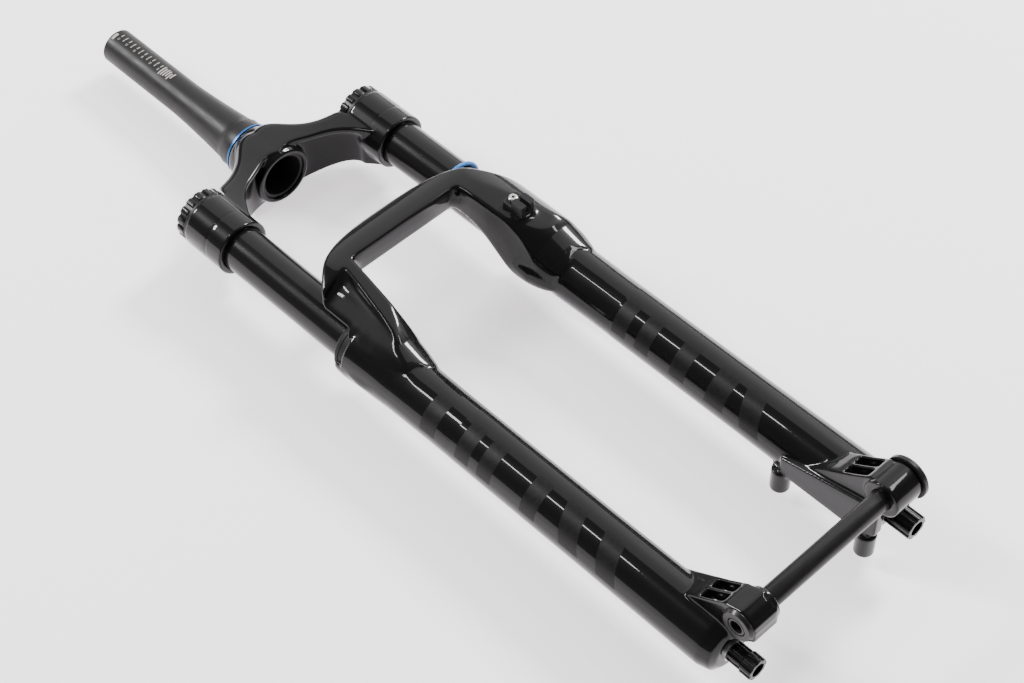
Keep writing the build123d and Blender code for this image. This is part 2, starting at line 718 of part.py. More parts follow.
# Guides that close both stanchions at the bottom.
for side in (LEFT, RIGHT):
    with BuildPart() as seal_head:
        with BuildSketch(across(422)):
            with Locations((side * LEG_X, LEG_Z)):
                Circle(TUBE_BORE - RUN)
                Circle(SHAFT_R + RUN, mode=Mode.SUBTRACT)
        extrude(amount=20.8)
        if side == RIGHT:
            with BuildSketch(across(418.4)):
                with Locations((side * LEG_X, LEG_Z)):
                    Circle(12.9)
                    Circle(SHAFT_R + RUN, mode=Mode.SUBTRACT)
            extrude(amount=3.6)
        with BuildSketch(across(428)):
            with Locations((side * LEG_X, LEG_Z)):
                Circle(TUBE_R)
                Circle(13.4, mode=Mode.SUBTRACT)
        extrude(amount=2.6, mode=Mode.SUBTRACT)
    head_name = "air_seal_head" if side == LEFT else "damper_seal_head"
    seal_head.part.label = head_name
    export_step(seal_head.part, f"parts/{head_name}.step")

# =====================================================================
# Foot nuts and rebound knob: splined drums with a hexagon socket
# =====================================================================

FEET = [
    ("air_foot_nut", LEFT, 9.2, LOWER_BOTTOM + 1.6, LOWER_BOTTOM + 22.5, 5.02, 14),
    ("damper_foot_nut", RIGHT, 7.6, LOWER_BOTTOM + 1.6, LOWER_BOTTOM + 12.5, 5.02, 20),
    ("rebound_knob", RIGHT, 8.4, LOWER_BOTTOM + 12.8, LOWER_BOTTOM + 22, 1.95, 0),
]
for foot_name, side, outer_r, top_depth, bottom_depth, stud_r, stud_length in FEET:
    with BuildPart() as foot:
        with BuildSketch(across(top_depth)):
            with Locations((side * LEG_X, LEG_Z)):
                Circle(outer_r)
                with PolarLocations(outer_r + 0.7, 9):
                    Circle(1.9, mode=Mode.SUBTRACT)
        extrude(amount=bottom_depth - top_depth)
        chamfer(foot.faces().sort_by(Axis.Y)[0].edges(), length=0.5)
        if foot_name != "rebound_knob":
            with BuildSketch(across(top_depth - 1)):
                with Locations((side * LEG_X, LEG_Z)):
                    Circle(stud_r)
            extrude(amount=stud_length - 2 if side == LEFT else 30, mode=Mode.SUBTRACT)
        else:
            with BuildSketch(across(top_depth - 1)):
                with Locations((side * LEG_X, LEG_Z)):
                    Circle(5.4)
            extrude(amount=2.2, mode=Mode.SUBTRACT)
            with BuildSketch(across(top_depth)):
                with Locations((side * LEG_X, LEG_Z)):
                    Circle(stud_r)
            extrude(amount=4, mode=Mode.SUBTRACT)
        if foot_name != "damper_foot_nut":
            with BuildSketch(across(bottom_depth - 6.5)):
                with Locations((side * LEG_X, LEG_Z)):
                    RegularPolygon(radius=5.0, side_count=6, major_radius=False)
            extrude(amount=8, mode=Mode.SUBTRACT)
    foot.part.label = foot_name
    export_step(foot.part, f"parts/{foot_name}.step")

# =====================================================================
# Axle, its threaded insert, hose guide and screw
# =====================================================================

with BuildPart() as axle:
    with BuildSketch(Plane.XY.offset(AXLE_Z)):
        with BuildLine():
            Polyline(
                (-83, -AXLE_DEPTH), (-83, -AXLE_DEPTH + 6.2), (-82, -AXLE_DEPTH + 7.0),
                (-66, -AXLE_DEPTH + 7.0), (-65, -AXLE_DEPTH + AXLE_R), (80.3, -AXLE_DEPTH + AXLE_R),
                (80.3, -AXLE_DEPTH + 16.4), (83.6, -AXLE_DEPTH + 16.4), (84.4, -AXLE_DEPTH + 15.4),
                (84.4, -AXLE_DEPTH + 10), (86.2, -AXLE_DEPTH + 8.5), (86.2, -AXLE_DEPTH), close=True,
            )
        make_face()
    revolve(axis=Axis((0, -AXLE_DEPTH, AXLE_Z), (1, 0, 0)))
    with BuildSketch(Plane.YZ.offset(-84)):
        with Locations((-AXLE_DEPTH, AXLE_Z)):
            Circle(4.8)
    extrude(amount=150, mode=Mode.SUBTRACT)
    with BuildSketch(Plane.YZ.offset(76)):
        with Locations((-AXLE_DEPTH, AXLE_Z)):
            RegularPolygon(radius=3.0, side_count=6, major_radius=False)
    extrude(amount=12, mode=Mode.SUBTRACT)
axle.part.label = "thru_axle"
export_step(axle.part, "parts/thru_axle.step")

with BuildPart() as axle_insert:
    with BuildSketch(Plane.XY.offset(AXLE_Z)):
        with BuildLine():
            Polyline(
                (-67, -AXLE_DEPTH + 7.08), (-67, -AXLE_DEPTH + 9.7), (-80.1, -AXLE_DEPTH + 9.7),
                (-80.1, -AXLE_DEPTH + 12.5), (-83, -AXLE_DEPTH + 11), (-83, -AXLE_DEPTH + 7.08), close=True,
            )
        make_face()
    revolve(axis=Axis((0, -AXLE_DEPTH, AXLE_Z), (1, 0, 0)))
axle_insert.part.label = "axle_thread_insert"
export_step(axle_insert.part, "parts/axle_thread_insert.step")

with BuildPart() as hose_guide:
    with BuildSketch(Plane.XY.offset(GUIDE_Z + 0.1)):
        with Locations((GUIDE_X, GUIDE_Y)):
            RectangleRounded(14, 20, 2.5)
    extrude(amount=4.4)
    with BuildSketch(Plane.XY.offset(GUIDE_Z + 0.1)):
        with Locations((GUIDE_X, GUIDE_Y - 4.5)):
            RectangleRounded(14, 11, 2)
    extrude(amount=10)
    with BuildSketch(across(-GUIDE_Y - 5)):
        with Locations((GUIDE_X, GUIDE_Z + 6.2)):
            Circle(2.7)
            with Locations((0, 3)):
                Rectangle(3.4, 6)
    extrude(amount=20, mode=Mode.SUBTRACT)
    with BuildSketch(Plane.XY.offset(GUIDE_Z)):
        with Locations((GUIDE_X, GUIDE_Y + 5.5)):
            Circle(2.15)
    extrude(amount=12, mode=Mode.SUBTRACT)
hose_guide.part.label = "hose_guide"
export_step(hose_guide.part, "parts/hose_guide.step")

with BuildPart() as guide_screw:
    with BuildSketch(Plane.XY.offset(GUIDE_Z + 4.6)):
        with Locations((GUIDE_X, GUIDE_Y + 5.5)):
            Circle(3.6)
    extrude(amount=2.4)
    fillet(guide_screw.edges().filter_by(GeomType.CIRCLE).group_by(Axis.Z)[-1], radius=1.2)
    with BuildSketch(Plane.XY.offset(GUIDE_Z + 4.6)):
        with Locations((GUIDE_X, GUIDE_Y + 5.5)):
            Circle(1.95)
    extrude(amount=-12.5)
    with BuildSketch(Plane.XY.offset(GUIDE_Z + 7.0)):
        with Locations((GUIDE_X, GUIDE_Y + 5.5)):
            RegularPolygon(radius=1.25, side_count=6, major_radius=False)
    extrude(amount=-1.6, mode=Mode.SUBTRACT)
guide_screw.part.label = "hose_guide_screw"
export_step(guide_screw.part, "parts/hose_guide_screw.step")
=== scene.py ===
import json
import math

import bpy
import numpy as np
import openvdb as vdb
from mathutils import Matrix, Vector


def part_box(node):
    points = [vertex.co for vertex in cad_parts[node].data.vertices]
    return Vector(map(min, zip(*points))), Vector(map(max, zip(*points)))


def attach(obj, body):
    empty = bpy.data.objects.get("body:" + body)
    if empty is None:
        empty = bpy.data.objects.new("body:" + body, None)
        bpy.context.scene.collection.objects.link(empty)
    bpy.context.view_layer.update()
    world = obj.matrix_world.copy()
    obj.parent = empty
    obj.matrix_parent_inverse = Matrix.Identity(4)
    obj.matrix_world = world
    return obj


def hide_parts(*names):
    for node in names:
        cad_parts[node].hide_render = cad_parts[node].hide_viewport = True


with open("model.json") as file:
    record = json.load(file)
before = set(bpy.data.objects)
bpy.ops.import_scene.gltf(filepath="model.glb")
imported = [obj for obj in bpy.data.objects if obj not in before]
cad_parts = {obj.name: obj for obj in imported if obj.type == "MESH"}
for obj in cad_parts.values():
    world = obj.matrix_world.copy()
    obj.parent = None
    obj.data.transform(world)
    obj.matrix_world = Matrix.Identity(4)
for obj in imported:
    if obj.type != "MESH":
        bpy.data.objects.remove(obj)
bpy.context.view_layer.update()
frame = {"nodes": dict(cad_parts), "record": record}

# Everything below is worked out in millimetres in the row frame: +Y up the steerer,
# +Z the fork's front, +X the rider's left. Meshes are written in metres.
MM = 0.001


# ---------------------------------------------------------------- sizes taken from the CAD frame
def box_mm(node):
    lo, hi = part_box(node)
    return np.array(lo) / MM, np.array(hi) / MM


def centre_mm(node):
    lo, hi = box_mm(node)
    return (lo + hi) / 2


LEG = {"left": centre_mm("left_stanchion"), "right": centre_mm("right_stanchion")}
LEG_X = LEG["left"][0]
LEG_Z = LEG["left"][2]
STANCHION_LO, STANCHION_HI = box_mm("left_stanchion")
TUBE_R = (STANCHION_HI[0] - STANCHION_LO[0]) / 2
STEERER_TOP = box_mm("steerer_tube")[1][1]
LOWERS_LO, LOWERS_HI = box_mm("lower_legs")
CROWN_LO, CROWN_HI = box_mm("crown")
AXLE = centre_mm("thru_axle")


# ---------------------------------------------------------------- materials
def linear(code):
    """sRGB hex to a linear colour."""
    parts = [int(code[i:i + 2], 16) / 255 for i in (1, 3, 5)]
    return tuple(c / 12.92 if c <= 0.04045 else ((c + 0.055) / 1.055) ** 2.4 for c in parts) + (1.0,)


def add(tree, kind, settings=None, **inputs):
    """Adds a node; settings are properties, inputs are socket values or sockets to link."""
    made = tree.nodes.new(kind)
    for key, value in (settings or {}).items():
        setattr(made, key, value)
    for key, value in inputs.items():
        by_number = key[0] == "i" and key[1:].isdigit()
        socket = made.inputs[int(key[1:]) if by_number else key.replace("_", " ")]
        if isinstance(value, bpy.types.NodeSocket):
            tree.links.new(value, socket)
        else:
            socket.default_value = value
    return made


# Index of refraction of every clear coat. A real lacquer is near 1.5; a lower one holds back wide highlights.
COAT_IOR = 1.29


def finish(name, colour, tint=0.15, metal=0.0, rough=0.3, spread=0.05, coat=0.0, coat_rough=0.03,
           grain=4.0, bump_size=1.0, bump_height=0.0, stretch=(1, 1, 1), specular=0.2):
    """A surface finish; grain and bump sizes are in mm, and a stretch below 1 draws the grain out."""
    m = bpy.data.materials.new(name)
    m.use_nodes = True
    t = m.node_tree
    shader = t.nodes["Principled BSDF"]
    where = add(t, "ShaderNodeTexCoord")
    space = add(t, "ShaderNodeMapping", Vector=where.outputs["Object"], Scale=stretch)
    cloud = add(t, "ShaderNodeTexNoise", Vector=space.outputs[0], Scale=1 / (grain * MM), Detail=4.0)
    dark = tuple(c * (1 - tint) for c in linear(colour)[:3]) + (1,)
    light = tuple(min(1, c * (1 + tint)) for c in linear(colour)[:3]) + (1,)
    mix = add(t, "ShaderNodeMix", {"data_type": "RGBA"}, i0=cloud.outputs["Fac"], i6=dark, i7=light)
    level = add(t, "ShaderNodeMapRange", Value=cloud.outputs["Fac"], i1=0.3, i2=0.7,
                i3=rough - spread, i4=rough + spread)
    t.links.new(mix.outputs[2], shader.inputs["Base Color"])
    t.links.new(level.outputs[0], shader.inputs["Roughness"])
    shader.inputs["Metallic"].default_value = metal
    shader.inputs["Coat Weight"].default_value = coat
    shader.inputs["Coat Roughness"].default_value = coat_rough
    shader.inputs["Coat IOR"].default_value = COAT_IOR
    if metal == 0.0:
        shader.inputs["Specular IOR Level"].default_value = specular
    if bump_height:
        skin = add(t, "ShaderNodeTexNoise", Vector=space.outputs[0], Scale=1 / (bump_size * MM), Detail=2.0)
        bump = add(t, "ShaderNodeBump", Height=skin.outputs["Fac"], Distance=bump_height * MM, Strength=1.0)
        t.links.new(bump.outputs[0], shader.inputs["Normal"])
        t.links.new(bump.outputs[0], shader.inputs["Coat Normal"])
    return m


MATERIALS = {
    # Sprayed gloss black over magnesium: deep, wet-looking, with a trace of orange peel.
    "lowers_gloss_black_paint": finish("gloss_black_paint_lowers", "#0b0b0c", rough=0.3, spread=0.03,
                                       coat=1.0, coat_rough=0.03, grain=25, bump_size=5,
                                       bump_height=0.004, specular=0.05),
    # The same gloss black over the forged aluminium crown.
    "crown_gloss_black": finish("gloss_black_paint_crown", "#0c0c0d", rough=0.3, spread=0.03, coat=1.0,
                                coat_rough=0.04, grain=20, bump_size=4, bump_height=0.004, specular=0.05),
    # Satin black anodised steerer tube.
    "steerer_black_anodised": finish("satin_black_anodised_steerer", "#1f1e1e", rough=0.42, spread=0.05,
                                     grain=3, bump_size=0.3, bump_height=0.002, stretch=(1, 0.2, 1)),
    # Blue anodised aluminium ring.
    "race_ring_blue": finish("blue_anodised_ring", "#2c5f9e", metal=0.6, rough=0.35, grain=2),
    # Hard black anodising polished on the stanchions.
    "stanchion_black_anodised": finish("polished_black_anodised_stanchion", "#141313", rough=0.2, spread=0.03,
                                       coat=0.6, coat_rough=0.05, grain=8, stretch=(1, 0.1, 1), specular=0.1),
    # Satin black anodised caps, knobs and foot nuts.
    "cap_black_anodised": finish("black_anodised_caps", "#121212", rough=0.3, spread=0.06, coat=0.4,
                                 coat_rough=0.1, grain=2, bump_size=0.4, bump_height=0.002),
    # Duller anodising of the top plugs.
    "plug_black_anodised": finish("black_anodised_plugs", "#1a1a1a", rough=0.4, grain=2),
    # Brass valve stem.
    "valve_brass": finish("turned_brass_valve", "#c6a867", metal=1.0, rough=0.25, grain=1),
    # Black nitrile rubber of the seals.
    "seal_black_rubber": finish("black_nitrile_seal", "#151515", rough=0.55, spread=0.1, grain=1.5,
                                bump_size=0.5, bump_height=0.01),
    # Blue rubber O-ring.
    "o_ring_blue_rubber": finish("blue_rubber_o_ring", "#2f6fb4", rough=0.4, grain=1.5),
    # Open-cell foam soaked in oil.
    "foam_grey": finish("grey_oil_foam", "#5a5a58", rough=0.9, grain=1, bump_size=0.8, bump_height=0.2),
    # Bronze bushings with a PTFE skin.
    "bushing_bronze": finish("bronze_bushing", "#8d7048", metal=1.0, rough=0.35, grain=1),
    # Spring-steel retaining rings.
    "spring_steel": finish("spring_steel_ring", "#8b8b8c", metal=1.0, rough=0.3, grain=1),
    # Soft aluminium crush washers.
    "washer_aluminium": finish("aluminium_crush_washer", "#c9c9ca", metal=1.0, rough=0.35, grain=1),
    # Moulded nylon spacer and glide ring.
    "spacer_plastic": finish("black_nylon_spacer", "#3b3b3c", rough=0.6, grain=2),
    # Ground and polished aluminium shafts.
    "shaft_aluminium": finish("polished_aluminium_shaft", "#bcbcbe", metal=1.0, rough=0.15, grain=3),
    # Turned aluminium pistons, heads and cartridge.
    "machined_aluminium": finish("turned_aluminium", "#c2c3c6", metal=1.0, rough=0.3, grain=1),
    # Black anodised axle.
    "axle_black_anodised": finish("black_anodised_axle", "#1b1a1a", rough=0.32, spread=0.05, coat=0.3,
                                  coat_rough=0.12, grain=3, stretch=(0.2, 1, 1)),
    # Moulded glass-filled nylon of the hose guide.
    "guide_black_plastic": finish("black_nylon_guide", "#161616", rough=0.45, grain=1, bump_size=0.4,
                                  bump_height=0.01),
    # Stainless button screw.
    "screw_stainless": finish("stainless_screw", "#c8c6c2", metal=1.0, rough=0.22, grain=1),
    # White laser marking on the steerer.
    "steerer_marking": finish("white_laser_marking", "#a29c9a", rough=0.6, grain=1),
    # Dull black decals lying in the gloss paint of the legs.
    "leg_decal": finish("dull_black_leg_decal", "#151415", rough=0.4, grain=3, specular=0.16),
}
SLOT_OF = {row["node"]: row["material_slot"] for row in frame["record"]["subparts"]}


# ---------------------------------------------------------------- pieces
def piece(name, verts, faces, slot, body, stands_for=(), normals=None, angle=35):
    """Makes a finished object at the origin from vertices in mm and lets it ride on a CAD body."""
    mesh = bpy.data.meshes.new(name)
    mesh.from_pydata((np.asarray(verts) * MM).tolist(), [], [list(f) for f in faces])
    mesh.validate()
    obj = bpy.data.objects.new(name, mesh)
    bpy.context.scene.collection.objects.link(obj)
    mesh.materials.append(MATERIALS[slot])
    mesh.polygons.foreach_set("use_smooth", [True] * len(mesh.polygons))
    if normals is None:
        mesh.set_sharp_from_angle(angle=math.radians(angle))
    else:
        mesh.normals_split_custom_set_from_vertices(normals.tolist())
    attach(obj, body)
    if stands_for:
        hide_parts(*stands_for)


def turned(profile, origin, axis="y", segments=128):
    """Vertices and faces of a turned shape. profile is (radius, place along the axis) pairs in mm."""
    angles = np.linspace(0, 2 * math.pi, segments, endpoint=False)
    verts = []
    for r, a in profile:
        for t in angles:
            if axis == "y":
                verts.append((origin[0] + r * math.cos(t), a, origin[2] + r * math.sin(t)))
            else:
                verts.append((a, origin[1] + r * math.cos(t), origin[2] + r * math.sin(t)))
    rows = len(profile)
    faces = []
    for i in range(rows):
        j = (i + 1) % rows
        for k in range(segments):
            n = (k + 1) % segments
            faces.append((i * segments + k, i * segments + n, j * segments + n, j * segments + k))
    verts = np.array(verts)
    corner = [verts[list(f)] for f in faces]
    volume = sum(float(np.dot(c[0], np.cross(c[1], c[2])) + np.dot(c[0], np.cross(c[2], c[3])))
                 for c in corner)
    if volume < 0:
        faces = [tuple(reversed(f)) for f in faces]
    return verts, faces


# ---------------------------------------------------------------- cast and forged shapes as distance fields
class Field:
    """A block of space in mm holding signed distances, negative inside the metal."""

    def __init__(self, lo, hi, step):
        self.lo = np.array(lo, np.float32)
        self.step = step
        self.count = [int(math.ceil((hi[i] - lo[i]) / step)) + 1 for i in range(3)]
        axes = [(lo[i] + step * np.arange(self.count[i])).astype(np.float32) for i in range(3)]
        self.x, self.y, self.z = np.meshgrid(*axes, indexing="ij", sparse=True)
        self.d = None

    def from_node(self, node, band=9):
        mesh = frame["nodes"][node].data
        mesh.calc_loop_triangles()
        co = np.zeros(len(mesh.vertices) * 3, np.float32)
        mesh.vertices.foreach_get("co", co)
        tris = np.zeros(len(mesh.loop_triangles) * 3, np.int32)
        mesh.loop_triangles.foreach_get("vertices", tris)
        points = (co.reshape(-1, 3) / MM - self.lo) / self.step
        grid = vdb.FloatGrid.createLevelSetFromPolygons(
            points.astype(np.float32), triangles=tris.reshape(-1, 3).astype(np.uint32), halfWidth=float(band))
        self.d = np.full(self.count, float(band), np.float32)
        grid.copyToArray(self.d)
        self.d *= self.step

    def soften(self, sigma):
        """The field averaged over a few mm, which rounds every edge and corner."""
        out = self.d
        reach = int(math.ceil(2.6 * sigma / self.step))
        weights = np.exp(-0.5 * (np.arange(-reach, reach + 1) * self.step / sigma) ** 2)
        weights = (weights / weights.sum()).astype(np.float32)
        for axis in range(3):
            padded = np.pad(out, [(reach, reach) if a == axis else (0, 0) for a in range(3)], mode="edge")
            total = np.zeros_like(out)
            for i, w in enumerate(weights):
                total += w * np.take(padded, range(i, i + out.shape[axis]), axis=axis)
            out = total
        return out

    def about(self, x, z):
        """Distance from an axis along Y."""
        return np.sqrt((self.x - x) ** 2 + (self.z - z) ** 2)

    def at(self, points):
        """The field at points in grid units."""
        top = np.array(self.count) - 1.001
        p = np.clip(points, 0, top)
        i = p.astype(int)
        f = (p - i).astype(np.float32)
        out = 0
        for a in (0, 1):
            for b in (0, 1):
                for c in (0, 1):
                    w = ((f[:, 0] if a else 1 - f[:, 0]) * (f[:, 1] if b else 1 - f[:, 1])
                         * (f[:, 2] if c else 1 - f[:, 2]))
                    out = out + w * self.d[i[:, 0] + a, i[:, 1] + b, i[:, 2] + c]
        return out

    def slope(self, p):
        parts = []
        for axis in range(3):
            h = np.zeros(3)
            h[axis] = 1.0
            parts.append((self.at(p + h) - self.at(p - h)) / (2 * self.step))
        return np.stack(parts, 1)

    def surface(self):
        """Vertices in mm, faces and outward normals of the zero surface."""
        grid = vdb.FloatGrid(background=9.0)
        grid.copyFromArray(self.d)
        points, quads = grid.convertToQuads(isovalue=0.0)
        p = points.astype(float)
        for _ in range(2):
            g = self.slope(p)
            size = np.maximum((g ** 2).sum(1), 0.2)
            p = p - (self.at(p) / size)[:, None] * g / self.step
        g = self.slope(p)
        normals = g / np.maximum(np.linalg.norm(g, axis=1, keepdims=True), 1e-6)
        verts = p * self.step + self.lo
        quads = quads.astype(int)
        a, b, c = (verts[quads[:, k]] for k in (0, 1, 2))
        facing = (np.cross(b - a, c - a) * normals[quads[:, 0]]).sum(1)
        if facing.sum() < 0:
            quads = quads[:, ::-1]
        return verts, quads, normals


def smooth_min(a, b, k):
    h = np.clip(0.5 + 0.5 * (b - a) / k, 0, 1)
    return b * (1 - h) + a * h - k * h * (1 - h)


def smooth_max(a, b, k):
    return -smooth_min(-a, -b, k)


# The lower legs: outside radius against depth, their ends, and the bores and wiper pockets inside them.
LEG_DEPTHS = (216, 222, 238, 266, 306, 446, 554)
LEG_RADII = (23.6, 24.2, 23.2, 21.8, 21.3, 21.3, 21.7)
LEG_TOP = -222.0
LEG_BOTTOM = -552.0
BORE_R = 19.0
BORE_TOP = -215.0
POCKET_R = 21.6
POCKET_FLOOR = -223.5
FOOT_BORE_R = 18.4
FOOT_BORE_TOP = -421.0
# Where the arch casting ends and the feet begin; plain tubes run between them.
ARCH_END = -328.0
FOOT_START = -464.0


def legs_outside(f, sides):
    r = np.interp(-f.y, LEG_DEPTHS, LEG_RADII).astype(np.float32)
    out = None
    for s in sides:
        d = np.maximum(f.about(s * LEG_X, LEG_Z) - r, np.maximum(f.y - LEG_TOP, LEG_BOTTOM - f.y))
        out = d if out is None else np.minimum(out, d)
    return out


# The arch, its shoulders and the top of both legs. Hollows are filled more from FILL_TOP down, and the
# casting is smoothed more over TAIL_LENGTH below TAIL_TOP, where each shoulder runs out into its leg.
FILL_TOP = -192
TAIL_TOP = -240
TAIL_LENGTH = 50
FLARE_DEPTHS = (228, 240, 255, 270, 285, 300, 328)
FLARE_RADII = (150, 38, 29, 25.2, 23.0, 21.9, 21.3)
arch = Field((LOWERS_LO[0] - 4, ARCH_END - 6, -15), (LOWERS_HI[0] + 4, LOWERS_HI[1] + 5, 62), 1.12)
arch.from_node("lower_legs")
arch.d = smooth_min(arch.d, arch.soften(4.0), 0.6)
low = arch.y < FILL_TOP
arch.d = np.where(low, smooth_min(arch.d, arch.soften(8.0), 0.6), arch.d)
tail = np.clip((TAIL_TOP - arch.y) / TAIL_LENGTH, 0, 1)
arch.d = arch.soften(1.3) * (1 - tail) + arch.soften(5.5) * tail
flare = np.interp(-arch.y, FLARE_DEPTHS, FLARE_RADII).astype(np.float32)
flare = np.minimum(arch.about(LEG_X, LEG_Z), arch.about(-LEG_X, LEG_Z)) - flare
arch.d = smooth_max(arch.d, flare, 2.5)
arch.d = np.minimum(arch.d, legs_outside(arch, (-1, 1)))
for s in (-1, 1):
    round_leg = arch.about(s * LEG_X, LEG_Z)
    arch.d = np.maximum(arch.d, -np.maximum(round_leg - BORE_R, arch.y - BORE_TOP))
    arch.d = np.maximum(arch.d, -np.maximum(round_leg - POCKET_R, -(arch.y - POCKET_FLOOR)))
arch.d = np.maximum(arch.d, ARCH_END - 4 - arch.y)
v, q, n = arch.surface()
piece("lower_legs_arch", v, q, "lowers_gloss_black_paint", "lower_assembly", ["lower_legs"], normals=n)

# The plain middle of both legs.
for s, side in ((1, "left"), (-1, "right")):
    profile = [(np.interp(-y, LEG_DEPTHS, LEG_RADII), y) for y in np.linspace(ARCH_END, FOOT_START, 12)]
    profile += [(BORE_R, FOOT_START), (BORE_R, ARCH_END)]
    verts, faces = turned(profile, (s * LEG_X, 0, LEG_Z), segments=192)
    piece(f"lower_legs_{side}_tube", verts, faces, "lowers_gloss_black_paint", "lower_assembly",
          ["lower_legs"])

# The feet: axle bosses with their ribbed webs, and the brake posts on the left.
for s, side in ((1, "left"), (-1, "right")):
    x0, x1 = sorted((s * 48, s * 104))
    foot = Field((x0, LOWERS_LO[1] - 4, LOWERS_LO[2] - 4), (x1, FOOT_START + 6, 70), 0.75)
    foot.from_node("lower_legs")
    foot.d = smooth_min(foot.d, foot.soften(1.8), 0.4)
    foot.d = foot.soften(0.6)
    foot.d = np.minimum(foot.d, legs_outside(foot, (s,)))
    bore = np.where(foot.y > FOOT_BORE_TOP, BORE_R, FOOT_BORE_R).astype(np.float32)
    foot.d = np.maximum(foot.d, -np.maximum(foot.about(s * LEG_X, LEG_Z) - bore, LEG_BOTTOM - foot.y))
    foot.d = np.maximum(foot.d, foot.y - FOOT_START - 4)
    v, q, n = foot.surface()
    piece(f"lower_legs_{side}_foot", v, q, "lowers_gloss_black_paint", "lower_assembly", ["lower_legs"],
          normals=n)

# The forged crown, with a clamp round each stanchion and a groove turned in each clamp.
CLAMP_R = 22.0
CLAMP_TOP = -49.4
CLAMP_BOTTOM = -88.6
GROOVE_Y = -72.1
GROOVE_R = 21.3
CLAMP_BORE_TOP = -49
RACE_BORE_R = 19.76
crown = Field(CROWN_LO - 4, CROWN_HI + 4, 0.9)
crown.from_node("crown")
crown.d = smooth_min(crown.d, crown.soften(3.2), 0.5)
crown.d = crown.soften(1.0)
for s in (-1, 1):
    round_leg = crown.about(s * LEG_X, LEG_Z)
    clamp = np.maximum(round_leg - CLAMP_R, np.maximum(crown.y - CLAMP_TOP, CLAMP_BOTTOM - crown.y))
    groove = np.maximum(np.abs(crown.y - GROOVE_Y) - 0.7, GROOVE_R - round_leg)
    outside = np.maximum(clamp, -groove)
    crown.d = np.minimum(crown.d, outside)
    crown.d = np.maximum(crown.d, -np.maximum(round_leg - (TUBE_R + 0.05), crown.y - CLAMP_BORE_TOP))
crown.d = np.maximum(crown.d, -np.maximum(crown.about(0, 0) - RACE_BORE_R, -200 - crown.y))
v, q, n = crown.surface()
piece("crown_forging", v, q, "crown_gloss_black", "upper_assembly", ["crown"], normals=n)

# ---------------------------------------------------------------- turned parts
# The steerer tapers from its upper radius at TAPER_TOP to its lower radius above the race seat.
STEERER_R = 14.3
STEERER_LOWER_R = 18.9
TAPER_TOP = 75
TAPER_LENGTH = 64
steerer_profile = [(12.0, STEERER_TOP), (13.7, STEERER_TOP), (STEERER_R, STEERER_TOP - 0.6),
                   (STEERER_R, TAPER_TOP)]
for i in range(1, 12):
    f = i / 12
    swell = (STEERER_LOWER_R - STEERER_R) * (0.6 * f + 0.4 * f * f)
    steerer_profile.append((STEERER_R + swell, TAPER_TOP - TAPER_LENGTH * f))
steerer_profile += [(STEERER_LOWER_R, 11.0), (19.9, 9.5), (19.9, 0.0), (19.7, 0.0), (19.7, -40.5),
                    (17.2, -40.5), (17.2, 6.0), (12.0, 68.0)]
verts, faces = turned(steerer_profile, (0, 0, 0), segments=160)
piece("steerer", verts, faces, "steerer_black_anodised", "upper_assembly", ["steerer_tube"])
dust_ring = [(RACE_BORE_R, -0.05), (20.9, -0.05), (21.6, -0.7), (21.6, -2.15), (RACE_BORE_R, -2.15)]
verts, faces = turned(dust_ring, (0, 0, 0))
piece("race_dust_ring", verts, faces, "race_ring_blue", "upper_assembly", ["crown_race_ring"])
tube_profile = [(15.7, -50), (17.5, -50), (17.5, -445.2), (16.7, -446), (15.7, -446)]
wiper_profile = [(17.55, -210), (18.3, -209.9), (19.0, -210.3), (20.6, -212.0), (21.9, -213.3),
                 (21.9, -215.9), (21.5, -215.9), (21.5, -223), (17.55, -223)]
for side in ("left", "right"):
    x = LEG[side][0]
    verts, faces = turned(tube_profile, (x, 0, LEG_Z), segments=160)
    piece(f"{side}_stanchion_tube", verts, faces, "stanchion_black_anodised", "upper_assembly",
          [f"{side}_stanchion"])
    verts, faces = turned(wiper_profile, (x, 0, LEG_Z))
    piece(f"{side}_wiper", verts, faces, "seal_black_rubber", "lower_assembly", [f"{side}_wiper_seal"])
RING_Y = centre_mm("travel_o_ring")[1]
round_angles = np.linspace(0, 2 * math.pi, 20, endpoint=False)
ring_profile = [(TUBE_R + 1.65 + 1.6 * math.cos(a), RING_Y + 1.6 * math.sin(a)) for a in round_angles]
verts, faces = turned(ring_profile, (LEG_X, 0, LEG_Z))
piece("travel_ring", verts, faces, "o_ring_blue_rubber", "travel_indicator", ["travel_o_ring"], angle=80)


